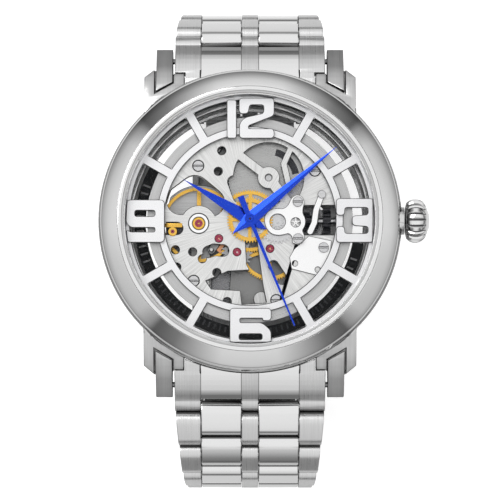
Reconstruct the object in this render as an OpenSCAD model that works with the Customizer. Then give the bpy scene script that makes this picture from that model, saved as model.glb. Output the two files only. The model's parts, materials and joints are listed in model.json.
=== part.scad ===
// Skeleton wristwatch: open-worked dial, automatic movement and a five-piece-link metal bracelet.
// Millimetres. The dial faces +Z, twelve o'clock is +Y and the crown is on +X.
// The origin is on the dial's axis, at the outer face of the case back.

/* [Case] */
// Diameter of the case band
case_d = 44; // [43.9:0.1:44.2]
// Outer diameter of the bezel
bezel_d = 43.2; // [42.8:0.1:43.4]
// Size from the tip of one lug to the tip of the opposite one
lug_to_lug = 51; // [50.6:0.2:51.4]
// Diameter of the crown
crown_d = 6.4; // [6:0.1:6.6]
// Number of flutes around the crown
crown_flutes = 20; // [16:1:24]

/* [Dial and hands] */
// Thickness of the dial
dial_h = 0.4; // [0.3:0.05:0.5]
// Height of the applied numerals
numeral_h = 0.7; // [0.5:0.05:0.75]
// Direction of the hour hand, anticlockwise from three o'clock
hour_angle = 149; // [0:1:359]
// Direction of the minute hand, anticlockwise from three o'clock
minute_angle = 39.9; // [0:0.1:359.9]
// Direction of the seconds hand, anticlockwise from three o'clock
seconds_angle = -67.4; // [-180:0.1:180]

/* [Movement] */
// Diameter of the movement
movement_d = 26.2; // [26.1:0.05:26.3]
// Direction of the middle of the rotor's weight, anticlockwise from three o'clock
rotor_angle = -80; // [-180:1:180]

/* [Bracelet] */
// Distance from one link pin to the next
link_pitch = 5.4; // [5.3:0.05:5.5]
// Thickness of a link
link_t = 2.8; // [2.7:0.05:2.9]
// Width of the bracelet at the clasp
clasp_w = 18; // [17.6:0.2:18.4]
// Angle to which the clasp's blades are folded open
clasp_open = 0; // [0:5:150]

/* [Hidden] */
$fn = 96;

// Heights along the dial's axis
back_z = 1.6;
band_top = 8.6;
dial_z = 9.1;
plate_z = 7.1;
plate_top = 8.3;
bridge_z = 3.8;
bridge_top = 4.4;
stem_z = 6.7;
crystal_z = 11.4;
glass_top = 12.4;
glass_dome = 0.5;
numeral_top = dial_z + dial_h + numeral_h;

// Radii around the dial's axis
case_r = case_d / 2;
bezel_r = bezel_d / 2;
bore_r = 18;
spigot_r = 19.8;
glass_r = 18.2;
movement_r = movement_d / 2;
ring_out = 14.9;
dial_out = 18.5;
dial_in = 12.4;
dial_ring_out = 13.5;
dial_rim_in = 17.4;
spoke_w = 1.4;

// Wheel axes of the movement
barrel_at = [2.7, 6.2];
balance_at = [-7.43, -0.47];
fork_at = [-4.51, -2.66];
escape_at = [-1.88, -4.63];
third_at = [2.9, -4.13];
minute_at = [4.0, -0.3];
crown_wheel_at = [8, 0];
centre_at = [0, 0];
lever_at = [10.4, 3.7];

// Teeth of the wheels and pinions
barrel_teeth = 80;
centre_pinion_teeth = 10;
centre_teeth = 80;
third_pinion_teeth = 10;
third_teeth = 75;
fourth_pinion_teeth = 10;
fourth_teeth = 72;
escape_pinion_teeth = 8;
cannon_teeth = 12;
minute_teeth = 36;
minute_pinion_teeth = 12;
hour_teeth = 48;
ratchet_teeth = 50;
crown_teeth = 30;

// Bracelet: columns across the width, and the slope of each link below the horizontal
centre_half = 1.22;
middle_in = 1.3;
middle_out = 7.1;
outer_in = 7.2;
hinge_lap = 0.75;
hinge_gap = 0.12;
pin_r = 0.5;
pin_bore_r = 0.55;
first_hinge = [26.8, 2.8];
slopes_12 = [59, 76, 90, 102, 116, 134, 156];
slopes_6 = [24, 42, 72, 90, 106, 122, 140, 160];

// ---------- Shared shapes ----------

module at(p, z = 0) translate([p[0], p[1], z]) children();

module slab(z0, z1) translate([0, 0, z0]) linear_extrude(z1 - z0) children();

module ring(r_out, r_in, z0, z1) slab(z0, z1) difference() {
    circle(r = r_out);
    circle(r = r_in);
}

module around(n, start = 0) for (i = [0:n - 1]) rotate(start + 360 * i / n) children();

// Round-ended bar between two points
module slot(a, b, w) {
    turn = atan2(b[1] - a[1], b[0] - a[0]);
    polygon([
        for (k = [-90:15:90]) b + w / 2 * [cos(turn + k), sin(turn + k)],
        for (k = [90:15:270]) a + w / 2 * [cos(turn + k), sin(turn + k)]
    ]);
}

module path(points, w) for (i = [0:len(points) - 2]) slot(points[i], points[i + 1], w);

// Outline of a toothed wheel with one tooth centred on +X
addendum = 0.9;
dedendum = 1.15;
function tooth_radius(teeth, size, k) = size * (teeth / 2 + (k == 0 || k == 3 ? -dedendum : addendum));
function gear_outline(teeth, size) = [
    for (i = [0:teeth - 1], k = [0:3])
        let (a = 360 * i / teeth + [-1.25, -0.45, 0.45, 1.25][k] * 90 / teeth)
            tooth_radius(teeth, size, k) * [cos(a), sin(a)]
];

// Tooth size of a pair, from the distance between its axes
function pair_size(a, b, teeth_a, teeth_b) = 2 * norm(b - a) / (teeth_a + teeth_b);
function bearing(a, b) = atan2(b[1] - a[1], b[0] - a[0]);
// Turn that puts the follower's gap on the line from its partner at a to its own axis at b
function meshed(a, b, teeth) = bearing(b, a) + 180 / teeth;

module gear(teeth, size, z0, z1, bore = 0) slab(z0, z1) difference() {
    polygon(gear_outline(teeth, size));
    if (bore > 0) circle(r = bore);
}

// Toothed wheel with a rim, a hub and straight spokes
module spoked_gear(teeth, size, z0, z1, spokes, rim, hub, spoke) {
    inner = size * (teeth / 2 - dedendum) - rim;
    slab(z0, z1) difference() {
        polygon(gear_outline(teeth, size));
        difference() {
            circle(r = inner);
            circle(r = hub);
            around(spokes) translate([0, -spoke / 2]) square([inner + 1, spoke]);
        }
    }
}

module spiral_band(r0, r1, turns, w, z0, z1) {
    steps = turns * 24;
    slab(z0, z1) polygon([
        for (i = [0:steps]) (r0 + (r1 - r0) * i / steps) * [cos(15 * i), sin(15 * i)],
        for (i = [steps:-1:0]) (r0 + w + (r1 - r0) * i / steps) * [cos(15 * i), sin(15 * i)]
    ]);
}

// Extrudes an outline drawn as (y, z) along X, from x0 to x1
module along_x(x0, x1) translate([x0, 0, 0]) rotate([90, 0, 90]) linear_extrude(x1 - x0) children();

module both_sides() {
    children();
    mirror([1, 0, 0]) children();
}

// ---------- Case ----------

lug_in = 9.6;
lug_step = 11.1;
prong_in = 11.3;
prong_out = 13.7;
lug_out = 15.4;
lug_tip = lug_to_lug / 2;
lug_step_y = 21.6;
spring_bar_at = [23.7, 3.4];
lug_arc_at = [14, -9.1];
lug_arc_r = 17.5;

module lug_side(drop = 0) {
    arc_end = acos((lug_tip - lug_arc_at[0]) / (lug_arc_r - drop));
    polygon([
        for (a = [90:-3:arc_end]) lug_arc_at + (lug_arc_r - drop) * [cos(a), sin(a)],
        [lug_tip, lug_arc_at[1] + (lug_arc_r - drop) * sin(arc_end)],
        [lug_tip, 1.2], [lug_tip - 0.9, 0.3], [21.5, 0.9], [19, back_z], [14, back_z]
    ]);
}

module lug_body_plan() polygon([
    [lug_in, 13], [lug_in, lug_step_y], [lug_step, lug_step_y], [lug_step, 20.1], [13.95, 18.4],
    [13.95, 22.2], [lug_out, 21], [lug_out, 13]
]);

module lug_root_plan() polygon([
    [lug_in, 13], [lug_in, lug_step_y], [lug_step, lug_step_y], [13.95, 22.2], [lug_out, 21],
    [lug_out, 13]
]);

module prong_plan() polygon([
    [prong_in, 20.3], [prong_out, 18.95], [prong_out, lug_tip], [prong_in, lug_tip]
]);

module lug() {
    intersection() {
        slab(0, 9) lug_body_plan();
        along_x(lug_in - 1, lug_out + 1) lug_side();
    }
    intersection() {
        slab(0, 5.2) lug_root_plan();
        along_x(lug_in - 1, lug_out + 1) lug_side(1.2);
    }
    intersection() {
        slab(0, 9) prong_plan();
        along_x(lug_in - 1, lug_out + 1) lug_side(0.25);
    }
}

module case_middle() color("silver") {
    difference() {
        union() {
            rotate_extrude() polygon([
                [bore_r, back_z], [20.4, back_z], [case_r, 3.2], [case_r, 8.2], [case_r - 0.4, band_top],
                [spigot_r, band_top], [spigot_r, 9.8], [bore_r, 9.8]
            ]);
            for (s = [0, 1]) mirror([0, s, 0]) both_sides() lug();
            translate([case_r - 1.5, 0, stem_z]) rotate([0, 90, 0]) cylinder(r = 2, h = 1.9);
        }
        translate([0, 0, 0.5]) cylinder(r = bore_r, h = 12);
        translate([0, 0, dial_z]) cylinder(r = dial_out + 0.05, h = 3);
        translate([bore_r - 2, 0, stem_z]) rotate([0, 90, 0]) cylinder(r = 0.75, h = 8);
        for (s = [1, -1]) translate([-lug_out, s * spring_bar_at[0], spring_bar_at[1]])
            rotate([0, 90, 0]) cylinder(r = 0.45, h = 2 * lug_out);
    }
}

module bezel() color("gainsboro") rotate_extrude() polygon([
    [spigot_r + 0.05, band_top], [20.6, band_top], [20.6, 9], [bezel_r, 9], [bezel_r, 10.3],
    [bezel_r - 0.2, 10.6], [19.1, 12.2], [18.9, 12.15], [18.75, 12.5], [18.5, 12.5],
    [18.5, crystal_z], [bore_r, crystal_z], [bore_r, 10.65], [dial_out + 0.05, 10.65],
    [dial_out + 0.05, 9.85], [spigot_r + 0.05, 9.85]
]);

module crystal() color("aliceblue", 0.25) rotate_extrude() polygon([
    [0, crystal_z], [glass_r, crystal_z],
    for (k = [8:-1:0]) [glass_r * k / 8, glass_top + glass_dome * (1 - k * k / 64)]
]);

module gaskets() color("dimgray") {
    ring(18.5, glass_r, crystal_z, crystal_z + 0.9);
    ring(19.5, 18.9, 1.1, back_z);
    ring(17.3, 17, 0.5, 1.4);
}

module rehaut_ring() color("silver") rotate_extrude() polygon([
    [17.85, dial_z + dial_h], [dial_out, dial_z + dial_h], [dial_out, 10.6], [18.05, 10.6]
]);

module case_back() color("silver") difference() {
    union() {
        rotate_extrude() polygon([[16.6, 0], [20, 0], [20.4, 0.4], [20.4, back_z], [16.6, back_z]]);
        ring(bore_r - 0.05, 17.3, back_z - 0.1, 3);
    }
    translate([0, 0, 0.5]) cylinder(r = 17.3, h = 3);
    ring(19.5, 18.9, 1.1, back_z + 0.1);
    around(6, 30) translate([19.3, -1.2, -0.1]) cube([2, 2.4, 0.6]);
}

module back_crystal() color("aliceblue", 0.25) slab(0.5, 1.5) circle(r = 17);

module movement_ring() color("lightgray") difference() {
    union() {
        ring(ring_out, movement_r + 0.05, 7.3, 8.5);
        for (a = [30, 150, 210, 330]) rotate(a) translate([ring_out - 0.2, -0.55, 7.5]) cube([3.2, 1.1, 0.9]);
    }
    translate([13, 0, stem_z]) rotate([0, 90, 0]) cylinder(r = 0.9, h = 3);
}

// ---------- Crown ----------

crown_x = 22.5;
crown_len = 3.55;

module crown() color("silver") difference() {
    translate([crown_x, 0, stem_z]) rotate([0, 90, 0]) difference() {
        rotate_extrude() polygon([
            [0, 0], [2.1, 0], [2.5, 0.15],
            for (a = [-50:12.5:75]) [crown_d / 2 - 1.75 + 1.75 * cos(a), 1.5 + 1.75 * sin(a)],
            [1.1, crown_len], [0, crown_len]
        ]);
        around(crown_flutes) translate([crown_d / 2 + 0.12, 0, -0.5]) cylinder(r = 0.3, h = 4.5);
    }
    translate([crown_x - 1, 0, stem_z]) rotate([0, 90, 0]) cylinder(r = 0.45, h = 3);
}

module winding_stem() color("steelblue") translate([7.6, 0, stem_z]) rotate([0, 90, 0]) {
    cylinder(r = 0.4, h = 4.8);
    translate([0, 0, 4.8]) cylinder(r = 0.55, h = 0.3);
    translate([0, 0, 5.1]) cylinder(r = 0.4, h = crown_x + 2 - 12.7);
}

module winding_pinions() color("darkgray") {
    translate([10.6, 0, stem_z]) rotate([0, 90, 0]) gear(16, 0.21, 0, 1.1, 0.45);
    translate([7.8, 0, stem_z]) rotate([0, 90, 0]) {
        gear(12, 0.19, 0, 0.9, 0.45);
        ring(0.8, 0.45, 0.9, 1.5);
        gear(12, 0.19, 1.5, 2.1, 0.45);
    }
}

// ---------- Dial ----------

numeral_hours = [0, 3, 6, 9];
spoke_hours = [1, 2, 4, 5, 7, 8, 10, 11];

module dial() color("white") slab(dial_z, dial_z + dial_h) {
    difference() {
        circle(r = dial_out);
        circle(r = dial_rim_in);
    }
    difference() {
        circle(r = dial_ring_out);
        circle(r = dial_in);
    }
    for (h = spoke_hours) rotate(90 - 30 * h) translate([dial_ring_out - 0.3, -spoke_w / 2])
        square([dial_rim_in - dial_ring_out + 0.6, spoke_w]);
}

module numeral_12() {
    translate([-3.28, 11.8]) square([1.17, 5.5]);
    polygon([
        [-1.53, 15.1], [-1.53, 16.8], [-1.03, 17.3], [2.8, 17.3], [3.37, 16.7], [3.37, 15.2], [3, 14.7],
        [0.2, 13.05], [3.37, 13.05], [3.37, 11.8], [-1.53, 11.8], [-1.53, 13.2], [-0.9, 13.9],
        [1.9, 15.1], [1.9, 16.1], [-0.1, 16.1], [-0.1, 15.1]
    ]);
}

module numeral_3() difference() {
    translate([12.43, -3.1]) square([5.07, 6.1]);
    translate([12, -1.1]) square([2.75, 1.8]);
    translate([13.75, -2.05]) square([2.7, 0.95]);
    translate([13.75, 0.65]) square([2.7, 1.05]);
}

module numeral_6() difference() {
    translate([-2.9, -17.55]) square([6, 4.7]);
    translate([-1.6, -14.95]) square([5, 0.75]);
    translate([-1.6, -16.9]) square([3.4, 0.85]);
}

module numeral_9() difference() {
    translate([-17.5, -3.1]) square([5.1, 5.8]);
    translate([-16.8, 0.35]) square([3.1, 0.9]);
    translate([-18, -1.9]) square([4.3, 0.7]);
}

module numerals() color("white") slab(dial_z + dial_h, numeral_top) {
    numeral_12();
    numeral_3();
    numeral_6();
    numeral_9();
}

// ---------- Hands ----------

// Dauphine hand pointing along +X, with a round hub
module dauphine(tip, tail, width, h, bore) difference() {
    union() {
        linear_extrude(h) polygon([[-tail, 0], [0, -width / 2], [tip, 0], [0, width / 2]]);
        cylinder(r = width / 2 + 0.25, h = h);
    }
    translate([0, 0, -1]) cylinder(r = bore, h = 3);
}

module hour_hand() color("mediumblue") translate([0, 0, 9.85]) rotate(hour_angle)
    dauphine(11.3, 2.85, 2.15, 0.25, 1);

module minute_hand() color("mediumblue") translate([0, 0, 10.4]) rotate(minute_angle)
    dauphine(16.4, 3.3, 2, 0.22, 0.72);

module seconds_hand() color("mediumblue") translate([0, 0, 10.85]) rotate(seconds_angle) {
    linear_extrude(0.16) difference() {
        union() {
            polygon([[0, -0.28], [16.7, -0.1], [16.7, 0.1], [0, 0.28]]);
            polygon([[0, -0.3], [-3.5, -0.45], [-3.5, 0.45], [0, 0.3]]);
            circle(r = 0.8);
        }
        circle(r = 0.3);
    }
}

// ---------- Movement: plates and bridges ----------

pivot_r = 0.15;
jewel_r = 0.55;
jewelled = [fork_at, escape_at, third_at];
plate_screws = [[-8.15, -8.8], [3.8, -11.6], [-7.5, 7.9], [9.4, 7.2]];
plate_holes = [
    [-10.8, -4.3], [-8.3, -4.6], [-6.9, -5.6], [-4.8, -7.6], [-10.6, -6.8], [-3.3, -11.8],
    [-4.1, 10.1], [-4.6, 7.1]
];
cock_foot = [-7, -9.1];
fork_posts = [[-5.6, -4.2], [-5.1, -1.2]];

module plate_openings() {
    // Over the barrel, with one bar left across it
    difference() {
        at(barrel_at) circle(r = 5.1);
        path([[6.6, 12], [4.9, 8.2], [5.6, 5.2]], 0.9);
        at(barrel_at) circle(r = 1.6);
        path([barrel_at, [-1.2, 9.2]], 1.3);
        path([barrel_at, [5.4, 2.6]], 1.6);
        polygon([[2.2, -2], [9, -2], [9, 3.6], [4.6, 2.6]]);
        circle(r = 2.6);
    }
    path([[-2.4, 5.6], [-1.6, 3.4], [-0.6, 3.2]], 1.7);
    // Around the balance, whose own bearing stays on a finger of the plate
    difference() {
        path([[-10, 2.9], [-8, 4.4], [-5.8, 2.6]], 4.2);
        at(balance_at) circle(r = 2.6);
    }
    path([[-12.2, -1.2], [-10.6, -1.2]], 1.8);
    // Keyhole over the pallets
    path([[-6, -4.6], [-5.2, -4.3], [-3.9, -4.4]], 1.7);
    // Slit from the centre down to the large opening
    polygon([[-0.7, -2.9], [1, -2.9], [1.9, -9.5], [0.4, -8.2], [-0.5, -6.4]]);
    polygon([[-6.4, -8.8], [-3.2, -7.4], [0.4, -7.2], [1.9, -9.5], [2.4, -12], [-1.2, -12.2],
             [-1.4, -10.2], [-5.6, -10]]);
    slot([3.4, -6.6], [4.7, -8.6], 1.5);
    // Keyless works
    translate([7.3, -2.15]) square([5.9, 4.3]);
}

module main_plate() color("gainsboro") difference() {
    union() {
        slab(plate_z, plate_top) difference() {
            circle(r = movement_r);
            plate_openings();
        }
        ring(movement_r, movement_r - 0.7, bridge_top, plate_z + 0.1);
        slab(bridge_top, plate_z + 0.1) {
            at([10, -7.6]) circle(r = 1.1);
            at([1.6, -11.4]) circle(r = 1.1);
            at([10.2, 6.9]) circle(r = 1.1);
            at([-5.2, 10.9]) circle(r = 1.1);
        }
        slab(4.15, plate_z + 0.1) at(cock_foot) circle(r = 1.2);
    }
    at(barrel_at) slab(bridge_top - 1, plate_z) circle(r = 6.3);
    at(balance_at) slab(bridge_top - 1, plate_z) circle(r = 5.7);
    translate([7.3, -2.15, 4]) cube([7, 4.3, 3.2]);
    cylinder(r = 0.85, h = 20);
    for (p = jewelled) at(p, plate_top - 0.3) cylinder(r = jewel_r + 0.02, h = 1);
    for (p = jewelled) at(p, 6) cylinder(r = pivot_r + 0.06, h = 3);
    at(balance_at, 6) cylinder(r = 0.26, h = 3);
    at(balance_at, plate_top - 0.3) cylinder(r = 1.47, h = 1);
    at(barrel_at, 6) cylinder(r = 0.5, h = 3);
    at(minute_at, 6) cylinder(r = 0.26, h = 3);
    for (p = plate_holes) at(p, 6) cylinder(r = 0.6, h = 3);
    for (p = plate_screws) at(p, plate_top - 0.35) cylinder(r = 0.82, h = 1);
    for (p = plate_screws) at(p, 6) cylinder(r = 0.37, h = 3);
    for (p = cover_screws) at(p, 6) cylinder(r = 0.37, h = 3);
    for (p = motion_feet) at(p, 6) cylinder(r = 0.37, h = 3);
}

module bridges() color("gainsboro") {
    slab(bridge_z, bridge_top) difference() {
        intersection() {
            circle(r = movement_r - 0.2);
            polygon([[-14, 14], [14, 14], [14, 0.2], [4, 0.2], [-1.5, 1.4], [-4, 7.5], [-14, 7.5]]);
        }
        at(balance_at) circle(r = 6.2);
        at(crown_wheel_at) circle(r = 3.3);
        at(barrel_at) circle(r = 1);
    }
    slab(bridge_z, bridge_top) difference() {
        intersection() {
            circle(r = movement_r - 0.2);
            polygon([[14, -14], [14, -0.1], [4, -0.1], [-1.6, 1.1], [-2.8, -6.2], [-3.2, -14]]);
        }
        at(crown_wheel_at) circle(r = 3.3);
        circle(r = 0.36);
        for (p = [escape_at, third_at]) at(p) circle(r = pivot_r + 0.06);
    }
    slab(5.45, 5.75) difference() {
        path([fork_posts[0], fork_at, fork_posts[1]], 1.1);
        at(fork_at) circle(r = pivot_r + 0.06);
    }
    for (p = fork_posts) at(p, 5.7) cylinder(r = 0.3, h = plate_z - 5.7);
}

module balance_cock() color("gainsboro") slab(3.7, 4.15) difference() {
    union() {
        slot(balance_at, cock_foot, 2.8);
        at(balance_at) circle(r = 2);
        // Wing that closes the movement behind the balance
        intersection() {
            at(balance_at) circle(r = 5.9);
            circle(r = movement_r - 0.9);
            polygon([[-14, -2.4], [-7.4, -2.2], [-5.2, 0], [-3.4, 2.4], [-3, 7], [-14, 7]]);
        }
    }
    at(balance_at) circle(r = 0.26);
    at(cock_foot) circle(r = 0.37);
}

// Cock over the minute train, on the dial side
motion_feet = [[6.9, 2.6], [6.95, -2.75]];

module motion_bridge() color("whitesmoke") {
    slab(9.05, 9.35) difference() {
        union() {
            slot(motion_feet[0], minute_at, 2.2);
            slot(motion_feet[1], minute_at, 1.8);
            at(minute_at) circle(r = 1.9);
            slot(motion_feet[0], motion_feet[1], 1.5);
        }
        at(minute_at) circle(r = 0.26);
        for (p = motion_feet) at(p) circle(r = 0.37);
    }
    for (p = motion_feet) at(p) ring(0.6, 0.37, plate_top, 9.05);
}

cover_screws = [[10.65, -4]];

module keyless_cover() color("white") slab(plate_top, 8.7) difference() {
    polygon([
        [5.7, -5.4], [6.4, -4.2], [8.5, -2.3], [11.8, -3], [11.5, -6.3], [9.9, -8.1], [6, -7.1]
    ]);
    for (p = cover_screws) at(p) circle(r = 0.37);
    at([6.5, -6.3]) circle(r = 0.4);
    at([9.8, -7.2]) circle(r = 0.4);
}

module setting_lever() color("whitesmoke") {
    slab(8.62, 8.87) difference() {
        path([lever_at, [9.55, 1.4], [9.3, -0.4], [8.7, -1.7]], 0.9);
        at(lever_at) circle(r = 0.3);
    }
}

// ---------- Movement: wheels ----------

barrel_size = pair_size(centre_at, barrel_at, barrel_teeth, centre_pinion_teeth);
centre_size = pair_size(centre_at, third_at, centre_teeth, third_pinion_teeth);
third_size = pair_size(centre_at, third_at, third_teeth, fourth_pinion_teeth);
fourth_size = pair_size(centre_at, escape_at, fourth_teeth, escape_pinion_teeth);
minute_size = pair_size(centre_at, minute_at, cannon_teeth, minute_teeth);
hour_size = pair_size(centre_at, minute_at, minute_pinion_teeth, hour_teeth);
winding_size = pair_size(barrel_at, crown_wheel_at, ratchet_teeth, crown_teeth);
drum_r = 5.6;

module barrel() color("silver") {
    at(barrel_at) {
        difference() {
            union() {
                ring(drum_r, 1, 4.9, 6.3);
                rotate(meshed(centre_at, barrel_at, barrel_teeth)) gear(barrel_teeth, barrel_size, 5.95, 6.3, 1);
            }
            ring(5.3, 1.3, 5.1, 6.1);
        }
        spiral_band(1.35, 5, 7, 0.16, 5.15, 6.05);
    }
}

module ratchet_wheel() color("silver") at(barrel_at) {
    rotate(meshed(crown_wheel_at, barrel_at, ratchet_teeth)) gear(ratchet_teeth, winding_size, 3.2, 3.6);
    slab(3.5, 6.8) circle(r = 0.9);
    slab(6.7, 7.6) circle(r = 0.45);
}

module crown_wheel() color("silver") at(crown_wheel_at) {
    rotate(bearing(crown_wheel_at, barrel_at)) gear(crown_teeth, winding_size, 3.2, 3.6, 0.65);
    difference() {
        ring(2.95, 2.45, 3.5, 4.75);
        around(24) translate([2.2, -0.18, 4.4]) cube([1, 0.36, 1]);
    }
}

module centre_wheel() color("gold") difference() {
    union() {
        rotate(bearing(centre_at, barrel_at)) gear(centre_pinion_teeth, barrel_size, 5.85, 6.42);
        rotate(bearing(centre_at, third_at)) spoked_gear(centre_teeth, centre_size, 6.4, 6.6, 5, 0.45, 1.2, 0.55);
        slab(6.5, 10.62) circle(r = 0.7);
        rotate(bearing(centre_at, minute_at)) gear(cannon_teeth, minute_size, 8.35, 8.6);
    }
    cylinder(r = 0.38, h = 20);
}

module third_wheel() color("gold") at(third_at) {
    rotate(meshed(centre_at, third_at, third_pinion_teeth)) gear(third_pinion_teeth, centre_size, 6.35, 6.65);
    rotate(bearing(third_at, centre_at)) spoked_gear(third_teeth, third_size, 5.4, 5.6, 5, 0.45, 0.8, 0.5);
    slab(4.1, 8.2) circle(r = pivot_r);
}

module fourth_wheel() color("gold") {
    rotate(meshed(third_at, centre_at, fourth_pinion_teeth)) gear(fourth_pinion_teeth, third_size, 5.3, 5.7);
    rotate(bearing(centre_at, escape_at)) spoked_gear(fourth_teeth, fourth_size, 4.6, 4.8, 4, 0.45, 0.9, 0.5);
    slab(4, 11) circle(r = 0.3);
}

escape_tip = 2.3;

module escape_wheel() color("silver") at(escape_at) {
    rotate(meshed(centre_at, escape_at, escape_pinion_teeth)) gear(escape_pinion_teeth, fourth_size, 4.55, 5.1);
    slab(6, 6.2) difference() {
        polygon([for (i = [0:19], k = [0:2]) [escape_tip, escape_tip - 0.05, 1.75][k]
            * [cos(18 * i + [0, 3, 6][k]), sin(18 * i + [0, 3, 6][k])]]);
        difference() {
            circle(r = 1.4);
            circle(r = 0.45);
            around(4) translate([0, -0.15]) square([2, 0.3]);
        }
    }
    slab(4.1, 8.2) circle(r = 0.14);
}

// Lever with its fork towards the balance and two pallet stones towards the escape wheel
module pallet_fork() color("orangered") {
    toward = bearing(fork_at, balance_at);
    at(fork_at) {
        rotate(toward) slab(5.95, 6.25) {
            difference() {
                union() {
                    translate([-0.9, -0.3]) square([3.6, 0.6]);
                    translate([2.5, -0.45]) square([0.6, 0.9]);
                }
                translate([2.65, -0.17]) square([1, 0.34]);
            }
            circle(r = 0.5);
            translate([-1.15, -1.45]) square([0.5, 2.9]);
            for (s = [1, -1]) translate([-1.35, s * 1.3 - 0.17]) square([0.6, 0.34]);
        }
        slab(5.5, 8.2) circle(r = pivot_r);
    }
}

module balance_wheel() color("gold") at(balance_at) {
    slab(4.95, 5.35) {
        difference() {
            circle(r = 5.45);
            circle(r = 5);
        }
        rotate(90) translate([-5.1, -0.3]) square([10.2, 0.6]);
        circle(r = 0.9);
    }
    slab(3.85, 7.9) circle(r = 0.2);
    slab(5.3, 5.6) circle(r = 0.95);
    translate([0, 0, 5.5]) rotate(bearing(balance_at, fork_at)) translate([0.78, 0, 0]) cylinder(r = 0.1, h = 0.7);
}

module hairspring() color("goldenrod") at(balance_at) spiral_band(0.6, 2.5, 8, 0.06, 4.3, 4.55);

module minute_wheel() color("silver") at(minute_at) {
    rotate(meshed(centre_at, minute_at, minute_teeth)) gear(minute_teeth, minute_size, 8.35, 8.6);
    rotate(bearing(minute_at, centre_at)) gear(minute_pinion_teeth, hour_size, 8.55, 9);
    slab(7.4, 9.3) circle(r = 0.2);
}

module hour_wheel() color("gold") difference() {
    union() {
        rotate(meshed(minute_at, centre_at, hour_teeth)) spoked_gear(hour_teeth, hour_size, 8.7, 8.92, 4, 0.5, 1.3, 0.5);
        slab(8.7, 10.1) circle(r = 0.98);
    }
    cylinder(r = 0.78, h = 20);
}

// ---------- Automatic winding ----------

rotor_feet = [[-5.2, 7.6], [8, -4.4], [-5.9, -6.9]];

module rotor_bridge() color("gainsboro") {
    slab(2.6, 3.1) difference() {
        union() {
            circle(r = 3.2);
            for (p = rotor_feet) slot(centre_at, p, 3);
            slot(rotor_feet[1], crown_wheel_at, 2.4);
        }
        circle(r = 0.5);
    }
    for (p = rotor_feet) at(p) slab(3.05, p == rotor_feet[2] ? 3.7 : bridge_z) circle(r = 0.9);
    at(crown_wheel_at) slab(3.05, 4.2) circle(r = 0.6);
}

module rotor() color("silver") rotate(rotor_angle) {
    slab(1.75, 2.3) difference() {
        union() {
            intersection() {
                circle(r = 12.9);
                translate([0, -14]) square([14, 28]);
            }
            circle(r = 2.6);
        }
        for (a = [-52, 0, 52]) rotate(a) {
            translate([6.9, 0]) circle(r = 2.1);
        }
        circle(r = 0.5);
    }
    slab(2.2, 2.95) intersection() {
        difference() {
            circle(r = 12.9);
            circle(r = 11);
        }
        translate([0, -14]) square([14, 28]);
    }
    ring(1.6, 0.6, 2.2, 2.55);
}

// ---------- Small parts of the movement ----------

module screw(head_r, head_h, shank) {
    difference() {
        cylinder(r = head_r, h = head_h);
        translate([-head_r - 1, -0.1, head_h - 0.12]) cube([2 * head_r + 2, 0.2, 1]);
    }
    translate([0, 0, -shank]) cylinder(r = 0.35, h = shank);
}

module jewels() color("crimson") {
    for (p = jewelled) at(p) ring(jewel_r, pivot_r + 0.06, plate_top - 0.3, plate_top + 0.02);
    at(balance_at) ring(0.55, 0.26, plate_top - 0.3, plate_top + 0.1);
    color("gold") at(balance_at) ring(1.45, 0.57, plate_top - 0.3, plate_top + 0.05);
}

module movement_screws() color("lightsteelblue") {
    for (p = plate_screws) at(p, plate_top - 0.35) screw(0.78, 0.35, 0.8);
    for (p = cover_screws) at(p, 8.7) screw(0.75, 0.25, 1.2);
    for (p = motion_feet) at(p, 9.35) screw(0.75, 0.25, 1.9);
    at(lever_at, plate_top) {
        cylinder(r = 0.25, h = 0.6);
        translate([0, 0, 0.6]) cylinder(r = 0.6, h = 0.2);
    }
    slab(1.56, 1.73) circle(r = 1.1);
    slab(1.7, 3.1) circle(r = 0.45);
    at(cock_foot, 3.45) {
        cylinder(r = 0.75, h = 0.25);
        cylinder(r = 0.35, h = 0.7);
    }
}

// ---------- Bracelet ----------

half_t = link_t / 2;

// Outline of a link piece between u0 and u1, with round ends
module piece_side(u0, u1) {
    translate([u0 + half_t, 0]) circle(r = half_t);
    translate([u1 - half_t, 0]) circle(r = half_t);
    translate([u0 + half_t, -half_t]) square([u1 - u0 - link_t, link_t]);
}

// The outline less the holes for two pins
module drilled(u0, u1, holes, r) difference() {
    piece_side(u0, u1);
    for (u = holes) translate([u, 0]) circle(r = r);
}

function outer_half(i) = max(clasp_w / 2, 11.35 - 0.5 * i);

// One row of the bracelet, with its front pin on the local X axis and its length along local +Y
module link_row(i, last) {
    fix = link_pitch / 2;
    brushed_end = last == 6 ? link_pitch - 0.9 : link_pitch + hinge_lap;
    polished_end = link_pitch - hinge_lap - hinge_gap - (last > 0 ? 0.55 : 0);
    brushed_holes = last == 6 ? [fix] : [fix, link_pitch];
    w0 = outer_half(i);
    w1 = max(clasp_w / 2, w0 - 0.42);
    color("silver") {
        along_x(-centre_half, centre_half) drilled(hinge_lap + hinge_gap, brushed_end, brushed_holes, pin_bore_r);
        both_sides() intersection() {
            along_x(outer_in, w0) drilled(hinge_lap + hinge_gap, brushed_end, brushed_holes, pin_bore_r);
            slab(-3, 3) polygon([
                [0, 0], [w0, 0], [w0, hinge_lap], [w1, brushed_end], [w1, brushed_end + 1], [0, brushed_end + 1]
            ]);
        }
    }
    color("whitesmoke") both_sides() along_x(middle_in, middle_out)
        drilled(-hinge_lap, polished_end, [0, fix], pin_bore_r);
    color("gray") for (u = [0, fix]) along_x(-w1 + 0.4, w1 - 0.4) translate([u, 0]) circle(r = pin_r);
}

function chain_at(slopes, i) = i == 0 ? first_hinge
    : chain_at(slopes, i - 1) + link_pitch * [cos(slopes[i - 1]), -sin(slopes[i - 1])];

module link_12(i) translate([0, chain_at(slopes_12, i - 1)[0], chain_at(slopes_12, i - 1)[1]])
    rotate([-slopes_12[i - 1], 0, 0]) link_row(i, i == len(slopes_12) ? 12 : 0);

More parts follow.
